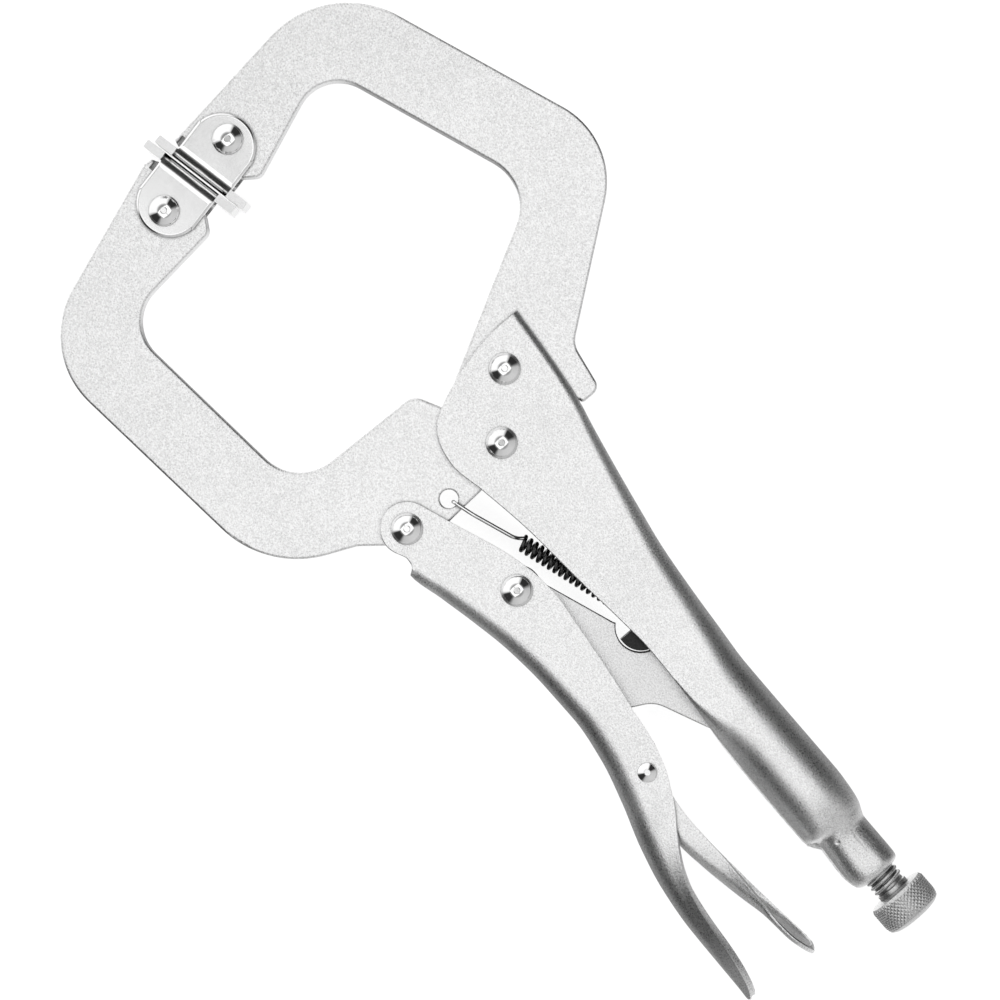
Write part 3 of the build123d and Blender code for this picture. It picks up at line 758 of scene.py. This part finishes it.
def make_spring():
    length = float(np.linalg.norm(COIL_END - COIL_START))
    axis = (COIL_END - COIL_START) / length
    across = np.array([-axis[1], axis[0], 0.0])
    up = np.array([0.0, 0.0, 1.0])
    per_turn = 28
    coil = []
    for i in range(TURNS * per_turn + 1):
        a = 2 * math.pi * i / per_turn
        share = i / (TURNS * per_turn)
        radius = COIL_R * (1.0 - COIL_TAPER * share**2)
        coil.append(COIL_START + axis * length * share + radius * (math.cos(a) * across + math.sin(a) * up))
    tail = [
        coil[-1],
        coil[-1] + axis * 1.0,
        COIL_END + axis * 2.2 - across * 0.4,
        COIL_END + axis * 4.75 - across * 0.4,
    ]
    spring = tube("spring_coil", coil + smooth_path(tail, 0.8)[1:], WIRE_R)
    dress(spring, SPRING)
    hook = [
        (HOLE[0] + 1.25, HOLE[1] + 0.35, -5.4),
        (HOLE[0] + 1.25, HOLE[1] + 0.35, HOOK_Z),
        (9.0, -17.6, HOOK_Z),
        (20.2, -13.6, 3.4),
        COIL_START + COIL_R * across * 0.2 + np.array([-1.4, -0.4, 1.6]),
        coil[3],
    ]
    wire = tube("spring_hook", smooth_path(hook, 1.3), WIRE_R * 0.95)
    dress(wire, HOOK)
    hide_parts("return_spring")
    for piece in (spring, wire):
        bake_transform(piece)


def dress_nodes():
    """Materials of the CAD nodes that are shown as they are."""
    nodes = frame["nodes"]
    for name in ("fixed_jaw", "moving_jaw"):
        dress(nodes[name], SATIN)
    dress(nodes["toggle_link"], LINK)
    for name in ("upper_pad", "lower_pad"):
        dress(nodes[name], BRIGHT)
    for name in nodes:
        if name.endswith("_rivet"):
            dress(nodes[name], POLISHED)
    dress(nodes["threaded_bush"], ZINC)
    dress(nodes["spring_anchor"], BLACK)


# Floor, light and camera

FLOOR_DROP = 0.0004
FLOOR_HALF = 3.0
# Brightness of the walls by direction, from -X at 0 to +X at 1
WALLS = [(0.0, 1.15), (0.2, 1.1), (0.3, 0.03), (0.62, 0.03), (0.76, 0.55), (1.0, 0.68)]
TABLE_GLOW = 0.28
CEILING = 0.3
BOX_HEIGHT = 1.0
BOX_GAP = 0.04
BOX_SIZE = (0.9, 0.62)
BOX_POWER = 1.58
# The camera looks straight down at the tool as it lies on the floor, turned so that the screw
# points down and to the right
TURN = math.radians(49.05)
MIDDLE = at(10.8, -9.9)
VIEW_WIDTH = 257.0 * MM
DISTANCE = 1.4
SENSOR = 36.0


def make_floor():
    """White table, lit softly from inside, with only faint shadows. It doesn't show in the steel."""
    corners = [(-1, -1), (1, -1), (1, 1), (-1, 1)]
    mesh = bpy.data.meshes.new("floor")
    mesh.from_pydata([(x * FLOOR_HALF, y * FLOOR_HALF, -FLOOR_DROP) for x, y in corners], [], [(0, 1, 2, 3)])
    floor = bpy.data.objects.new("floor", mesh)
    bpy.context.scene.collection.objects.link(floor)
    pale = bpy.data.materials.new("pale_floor")
    pale.use_nodes = True
    shader = pale.node_tree.nodes["Principled BSDF"]
    shader.inputs["Base Color"].default_value = grey(0.45)
    shader.inputs["Roughness"].default_value = 0.9
    shader.inputs["Specular IOR Level"].default_value = 0.1
    shader.inputs["Emission Color"].default_value = grey(1.0)
    shader.inputs["Emission Strength"].default_value = 0.82
    mesh.materials.append(pale)
    floor.visible_glossy = False


def part_of(tree, value, letter):
    """One coordinate of a direction."""
    n = node(tree, "ShaderNodeSeparateXYZ")
    tree.links.new(value, n.inputs[0])
    return n.outputs[letter]


def make_world():
    """Studio walls: white past the jaws, pale past the knob, and dark along the tool's two long sides.

    Below the horizon the table's glow is added, and overhead there is a grey ceiling.
    """
    world = bpy.data.worlds.new("studio")
    bpy.context.scene.world = world
    world.use_nodes = True
    tree = world.node_tree
    facing = node(tree, "ShaderNodeTexCoord").outputs["Generated"]
    level = vector(tree, "NORMALIZE", vector(tree, "MULTIPLY", facing, (1.0, 1.0, 0.0)))
    walls = node(tree, "ShaderNodeValToRGB")
    tree.links.new(remap(tree, part_of(tree, level, "X"), -1.0, 1.0), walls.inputs["Fac"])
    elements = walls.color_ramp.elements
    while len(elements) < len(WALLS):
        elements.new(0.5)
    for element, (place, value) in zip(elements, WALLS):
        element.position = place
        element.color = grey(value)
    height = part_of(tree, facing, "Z")
    glowing = mixed(tree, "ADD", remap(tree, height, -0.05, -0.6), walls.outputs["Color"], grey(TABLE_GLOW))
    whole = mixed(tree, "MIX", remap(tree, height, 0.7, 0.85), glowing, grey(CEILING))
    tree.links.new(whole, tree.nodes["Background"].inputs["Color"])


def make_softboxes():
    """Two lights side by side overhead, with a dark gap between them, that shine straight down."""
    for side in (-1, 1):
        light = bpy.data.lights.new("softbox_%d" % (side + 1), "AREA")
        light.shape = "RECTANGLE"
        light.size, light.size_y = BOX_SIZE
        light.energy = BOX_POWER
        obj = bpy.data.objects.new(light.name, light)
        bpy.context.scene.collection.objects.link(obj)
        obj.location = (MIDDLE.x, MIDDLE.y + side * (BOX_SIZE[1] + BOX_GAP) / 2, BOX_HEIGHT)
        obj.visible_camera = False


def make_camera():
    data = bpy.data.cameras.new("camera")
    data.sensor_width = SENSOR
    data.lens = SENSOR * DISTANCE / VIEW_WIDTH
    data.clip_end = 20.0
    camera = bpy.data.objects.new("camera", data)
    bpy.context.scene.collection.objects.link(camera)
    camera.location = (MIDDLE.x, MIDDLE.y, MIDDLE.z + DISTANCE)
    camera.rotation_euler = (0.0, 0.0, TURN)
    bpy.context.scene.camera = camera


make_handle()
make_lever()
make_release_lever()
make_core()
make_thread()
make_knob()
make_spring()
dress_nodes()
make_floor()
make_world()
make_softboxes()
make_camera()
bpy.context.scene.view_settings.view_transform = "Standard"
